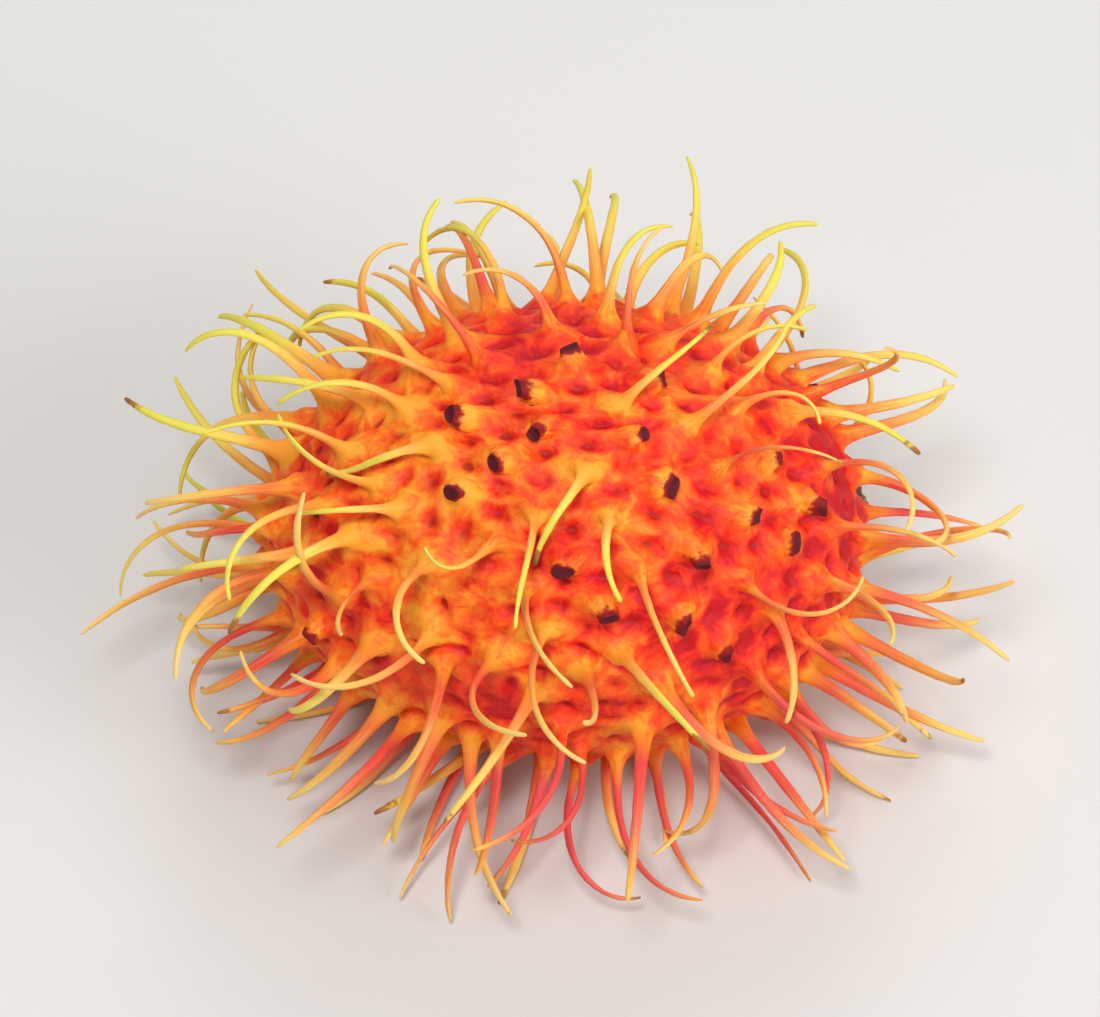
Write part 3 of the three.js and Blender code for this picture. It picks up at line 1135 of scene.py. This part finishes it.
class Shader:
    """One procedural material, built up node by node."""

    def __init__(self, name: str) -> None:
        """Start an empty material with one Principled surface.

        Args:
            name: The material's name.
        """
        self.material = bpy.data.materials.new(name)
        self.material.use_nodes = True
        self.tree = self.material.node_tree
        self.tree.nodes.clear()
        self.surface = self.tree.nodes.new("ShaderNodeBsdfPrincipled")
        output = self.tree.nodes.new("ShaderNodeOutputMaterial")
        self.tree.links.new(self.surface.outputs[0], output.inputs["Surface"])

    def feed(self, socket: bpy.types.NodeSocket, value: object) -> None:
        """Link a channel to an input, or set the input's own value.

        Args:
            socket: The input.
            value: A channel, a number or a colour.
        """
        if isinstance(value, Channel):
            self.tree.links.new(value.socket, socket)
        elif isinstance(value, tuple) and socket.type == "RGBA":
            socket.default_value = (*value, 1.0)
        else:
            socket.default_value = value

    def node(self, kind: str, settings: dict[str, object], inputs: dict) -> list[Channel]:
        """Add one node.

        Args:
            kind: The node's type.
            settings: Its own settings, set first. A ramp's "stops" are (place, colour) pairs.
            inputs: Values or channels by the input's name or number.

        Returns:
            Its enabled outputs.
        """
        made = self.tree.nodes.new(kind)
        for name, value in settings.items():
            if name == "stops":
                self.set_stops(made.color_ramp, value)
            else:
                setattr(made, name, value)
        named = {socket.name: socket for socket in reversed(made.inputs) if socket.enabled}
        for name, value in inputs.items():
            self.feed(made.inputs[name] if isinstance(name, int) else named[name], value)
        return [Channel(self, socket) for socket in made.outputs if socket.enabled]

    @staticmethod
    def set_stops(ramp: bpy.types.ColorRamp, stops: Sequence[tuple[float, Colour]]) -> None:
        """Give a colour ramp its stops.

        Args:
            ramp: The ramp.
            stops: Each stop's place and colour.
        """
        while len(ramp.elements) > 1:
            ramp.elements.remove(ramp.elements[-1])
        for number, (at, colour) in enumerate(stops):
            element = ramp.elements[0] if number == 0 else ramp.elements.new(at)
            element.position = at
            element.color = (*colour, 1.0)

    def attribute(self, name: str, vector: bool = False) -> Channel:
        """Return a number, or a vector, that the mesh carries."""
        return self.node("ShaderNodeAttribute", {"attribute_name": name}, {})[1 if vector else 2]

    def position(self) -> Channel:
        """Return the Object coordinates."""
        return self.node("ShaderNodeTexCoord", {}, {})[3]

    def noise(self, vector: Channel, scale: float, detail: float = 3.0, roughness: float = 0.55,
              distortion: float = 0.0) -> Channel:
        """Add a noise pattern.

        Args:
            vector: The coordinates that it reads.
            scale: How fine it is.
            detail: How many finer layers it has.
            roughness: How strong those are.
            distortion: How warped it is.

        Returns:
            The pattern, from 0 to 1.
        """
        inputs = {"Vector": vector, "Scale": scale, "Detail": detail, "Roughness": roughness,
                  "Distortion": distortion}
        return self.node("ShaderNodeTexNoise", {}, inputs)[0]

    def ramp(self, factor: Channel, stops: Sequence[tuple[float, Colour]]) -> Channel:
        """Return a colour picked by a factor."""
        return self.node("ShaderNodeValToRGB", {"stops": stops}, {"Fac": factor})[0]

    def mix(self, factor: object, low: object, high: object) -> Channel:
        """Return two colours blended by a factor."""
        settings = {"data_type": "RGBA", "clamp_factor": True}
        return self.node("ShaderNodeMix", settings, {"Factor": factor, "A": low, "B": high})[0]

    def bump(self, height: Channel, strength: float, depth: float) -> Channel:
        """Return a normal pushed by a height, with the depth in metres."""
        inputs = {"Strength": strength, "Distance": depth, "Height": height}
        return self.node("ShaderNodeBump", {}, inputs)[0]

    def set_surface(self, **values: object) -> bpy.types.Material:
        """Feed the Principled surface, with spaces in names written as underscores.

        Args:
            values: Values or channels for its inputs.

        Returns:
            The finished material.
        """
        for name, value in values.items():
            self.feed(self.surface.inputs[name.replace("_", " ")], value)
        return self.material


@dataclass(frozen=True)
class RindFinish:
    """Waxy rind: crimson in the hollows and orange on the tubercles, partly painted shade and light, dark red
    painted shade in the pits, spinterns running to straw and lime.
    """

    painted_pit_shade: Colour = linear(166, 8, 12)
    crimson: Colour = linear(194, 14, 26)
    scarlet: Colour = linear(228, 38, 18)
    vermilion: Colour = linear(242, 82, 22)
    orange: Colour = linear(248, 128, 30)
    amber: Colour = linear(250, 164, 46)
    root_red: Colour = linear(212, 26, 42)
    rose: Colour = linear(230, 84, 84)
    salmon: Colour = linear(236, 92, 54)
    apricot: Colour = linear(242, 160, 74)
    gold: Colour = linear(246, 198, 92)
    straw: Colour = linear(248, 204, 124)
    lime: Colour = linear(228, 216, 84)
    dried: Colour = linear(92, 20, 32)
    dried_edge: Colour = linear(156, 16, 18)
    tan: Colour = linear(196, 140, 62)
    brown: Colour = linear(138, 84, 44)
    # How fine the patterns are.
    patch_scale: float = 70.0
    mottle_scale: float = 520.0
    speck_scale: float = 1500.0
    streak_scale: float = 2.6
    # The surface: its sheen, its relief in metres and the light that passes through it.
    roughness: float = 0.58
    relief: float = 0.0002
    relief_strength: float = 0.5
    glow: float = 0.1
    glow_reach: Way = (1.0, 0.3, 0.12)
    glow_depth: float = 0.0008
    shine: float = 0.28

    def material(self) -> bpy.types.Material:
        """Build the material."""
        s = Shader("rind")
        place = s.position()
        along, rise, tone, yellow, wear, blush, pit = (
            s.attribute(name) for name in ("along", "rise", "tone", "yellow", "wear", "blush", "pit"))
        patches = s.noise(place, self.patch_scale, 2.0, 0.5, 0.4)
        mottle = s.noise(place, self.mottle_scale, 4.0, 0.65, 0.6)
        specks = s.noise(place, self.speck_scale, 3.0, 0.6)
        streaks = s.noise(s.attribute("grain", vector=True), self.streak_scale, 3.0, 0.6)

        # The rind between the spinterns.
        flank = rise.step(0.36, 0.6)
        # rise * 0.85 paints light and shade: darker crimson down in the hollows, lighter orange up the
        # tubercles.
        warmth_and_painted_shade = ((patches - 0.5) * 1.4 + (mottle - 0.5) * 1.9 + rise * 0.85 + tone * 0.25
                  + blush * 0.25 + ((yellow - 0.45) * 0.5 + (streaks - 0.5) * 0.9) * flank + 0.14)
        skin = s.ramp(warmth_and_painted_shade.clamped(), (
            (0.0, self.crimson), (0.2, self.scarlet), (0.5, self.vermilion), (0.78, self.orange),
            (1.0, self.amber)))
        # Painted shade: the pits turn dark red where their deep dents would lie in shadow.
        skin = s.mix((pit + (mottle - 0.5) * 0.6).step(0.08, 0.62) * 0.85, skin, self.painted_pit_shade)

        # The spinterns, from their red roots to their tips.
        stage = along * 0.95 + (yellow - 0.51) * 0.8 + blush * 0.12 + (streaks - 0.5) * 0.55
        spine = s.ramp(stage.clamped(), (
            (0.0, self.root_red), (0.2, self.salmon), (0.42, self.apricot), (0.7, self.gold)))
        tips = s.mix((yellow + blush * 0.15).step(0.5, 0.82), self.straw, self.lime)
        spine = s.mix(stage.step(0.55, 0.95), spine, tips)
        pinkness = (1.4 - yellow * 1.9 - blush * 0.55 + tone * 0.4).clamped() * stage.step(0.75, 0.3)
        spine = s.mix(pinkness * along.step(0.03, 0.25) * 0.8, spine, self.rose)
        colour = s.mix(along.step(0.02, 0.3), skin, spine)

        # What has withered: the worn stubs, the ring round the stalk and some tips.
        fray = (mottle - 0.5) * 1.5 + (specks - 0.5) * 1.1
        dryness = (wear * 1.6 - 0.4 + tone * 0.3 + fray * wear.step(0.0, 0.3)).clamped()
        withered = s.mix(dryness.step(0.25, 1.0), self.dried_edge, self.dried)
        withered = s.mix(along.step(0.2, 0.5), withered, s.mix(dryness, self.tan, self.brown))
        colour = s.mix(dryness.step(0.0, 0.4), colour, withered)

        roughness = self.roughness + (mottle - 0.5) * 0.3 + dryness * 0.25 - along.step(0.05, 0.3) * 0.12
        height = specks * 0.35 + mottle * 0.65 + streaks * along.step(0.03, 0.2) * 0.8
        return s.set_surface(
            Base_Color=colour,
            Roughness=roughness.clamped(),
            Normal=s.bump(height, self.relief_strength, self.relief),
            Subsurface_Weight=self.glow,
            Subsurface_Radius=self.glow_reach,
            Subsurface_Scale=self.glow_depth,
            Specular_IOR_Level=self.shine,
        )


@dataclass(frozen=True)
class BarkFinish:
    """Dry bark of the stalk: brown, with long dark cracks, pale pores and a pale ringed broken end."""

    dark: Colour = linear(46, 28, 20)
    brown: Colour = linear(104, 68, 44)
    grey: Colour = linear(152, 122, 92)
    pore: Colour = linear(190, 164, 128)
    wood: Colour = linear(208, 172, 118)
    pith: Colour = linear(120, 78, 44)
    # How fine the patterns are.
    blotch_scale: float = 700.0
    crack_scale: float = 5.0
    pore_scale: float = 2400.0
    ring_scale: float = 9.0
    # The surface: its sheen and its relief in metres.
    roughness: float = 0.74
    relief: float = 0.0005
    relief_strength: float = 0.9

    def material(self) -> bpy.types.Material:
        """Build the material."""
        s = Shader("bark")
        place = s.position()
        broken, reach = s.attribute("broken"), s.attribute("reach")
        blotches = s.noise(place, self.blotch_scale, 4.0, 0.6)
        cracks = s.noise(s.attribute("fibres", vector=True), self.crack_scale, 5.0, 0.65, 0.4)
        pores = s.noise(place, self.pore_scale, 2.0, 0.5).step(0.66, 0.74)
        shade = ((blotches - 0.5) * 1.3 + (cracks - 0.5) * 2.2 + 0.48).clamped()
        bark = s.ramp(shade, ((0.15, self.dark), (0.5, self.brown), (0.9, self.grey)))
        bark = s.mix(pores * 0.7, bark, self.pore)
        outwards = s.node("ShaderNodeCombineXYZ", {}, {"X": reach * self.ring_scale})[0]
        rings = s.noise(outwards, 1.0, 2.0, 0.5)
        timber = s.mix((rings * 0.9 + reach.step(0.3, 0.0) * 0.8).clamped(), self.wood, self.pith)
        height = s.mix(broken, blotches * 0.4 + cracks * 0.6, rings * 0.5 + blotches * 0.5)
        return s.set_surface(
            Base_Color=s.mix(broken, bark, timber),
            Roughness=(self.roughness + (cracks - 0.5) * 0.4).clamped(),
            Normal=s.bump(height, self.relief_strength, self.relief),
        )


@dataclass(frozen=True)
class FloorFinish:
    """Plain pale matt floor."""

    pale: Colour = linear(214, 213, 210)
    roughness: float = 0.85

    def material(self) -> bpy.types.Material:
        """Build the material."""
        return Shader("pale_floor").set_surface(Base_Color=self.pale, Roughness=self.roughness)


# ---- Studio


class Softbox(Enum):
    """The soft lamps: place round the fruit, size and power."""

    KEY = ((-0.1, -0.3, 0.8), 0.25, 4.5)
    FILL = ((0.6, -0.3, 0.4), 0.5, 3.5)
    BACK = ((0.05, 0.6, 0.55), 0.4, 2.0)


@dataclass
class Studio:
    """The pale floor, the soft lamps and the camera. Metres."""

    target: Vector
    elevation: float = math.radians(54.0)
    distance: float = 0.62
    view_width: float = 0.088
    film_width: float = 36.0
    floor_size: float = 3.0
    room_light: float = 0.2

    def build(self) -> None:
        """Set the whole studio up."""
        self.add_floor()
        for lamp in Softbox:
            self.add_lamp(lamp)
        self.add_sky()
        self.add_camera()

    def add_floor(self) -> None:
        """Lay the floor."""
        only()
        bpy.ops.mesh.primitive_plane_add(size=self.floor_size)
        floor = bpy.context.active_object
        floor.name = "floor"
        floor.data.materials.append(FloorFinish().material())
        floor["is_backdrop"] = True

    def aim(self, name: str, data: bpy.types.ID, place: Vector) -> bpy.types.Object:
        """Put a lamp or a camera in the scene, aimed at the fruit.

        Args:
            name: Its name.
            data: The lamp's or the camera's own settings.
            place: Where it stands.

        Returns:
            The new object.
        """
        obj = bpy.data.objects.new(name, data)
        obj.location = place
        obj.rotation_euler = (self.target - place).to_track_quat("-Z", "Y").to_euler()
        bpy.context.scene.collection.objects.link(obj)
        return obj

    def add_lamp(self, lamp: Softbox) -> None:
        """Hang one soft lamp.

        Args:
            lamp: Which one.
        """
        place, size, power = lamp.value
        data = bpy.data.lights.new(lamp.name.lower() + "_lamp", "AREA")
        data.shape = "DISK"
        data.size = size
        data.energy = power
        self.aim(data.name, data, Vector(place))

    def add_sky(self) -> None:
        """Fill the room with a soft even light."""
        world = bpy.data.worlds.new("soft_room")
        world.use_nodes = True
        background = world.node_tree.nodes["Background"]
        background.inputs["Color"].default_value = (1.0, 1.0, 1.0, 1.0)
        background.inputs["Strength"].default_value = self.room_light
        bpy.context.scene.world = world
        bpy.context.scene.view_settings.view_transform = "Standard"

    def add_camera(self) -> None:
        """Set the camera up, looking down at the fruit from the front."""
        data = bpy.data.cameras.new("camera")
        data.sensor_width = self.film_width
        data.lens = self.film_width * self.distance / self.view_width
        back = Vector((0.0, -math.cos(self.elevation), math.sin(self.elevation)))
        bpy.context.scene.camera = self.aim("camera", data, self.target + back * self.distance)


# ---- Main


def ride_as(obj: bpy.types.Object, node: str, material: bpy.types.Material) -> None:
    """Dress a finished piece and let it stand for its solid.

    Args:
        obj: The finished piece.
        node: The solid that it stands for.
        material: Its finish.
    """
    obj.data.materials.append(material)
    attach(obj, "root")
    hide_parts(node)
    log.info("%s: %d faces", obj.name, len(obj.data.polygons))


def main() -> None:
    """Build the studio, the fruit and its stem stub."""
    logging.basicConfig(level=logging.INFO, format="%(name)s: %(message)s")
    rest_spot = Vector(frame["record"]["mounts"][0]["pos_m"])
    body = BodyForm()
    low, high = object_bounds()
    Studio(target=(low + high) / 2).build()
    fruit = FruitSkin(SpinternField(body), rest_spot)
    ride_as(fruit.build(), "fruit", RindFinish().material())
    stem = StemStub(body, rest_spot)
    ride_as(stem.build(), "stem_stub", BarkFinish().material())


if __name__ == "__main__":
    main()
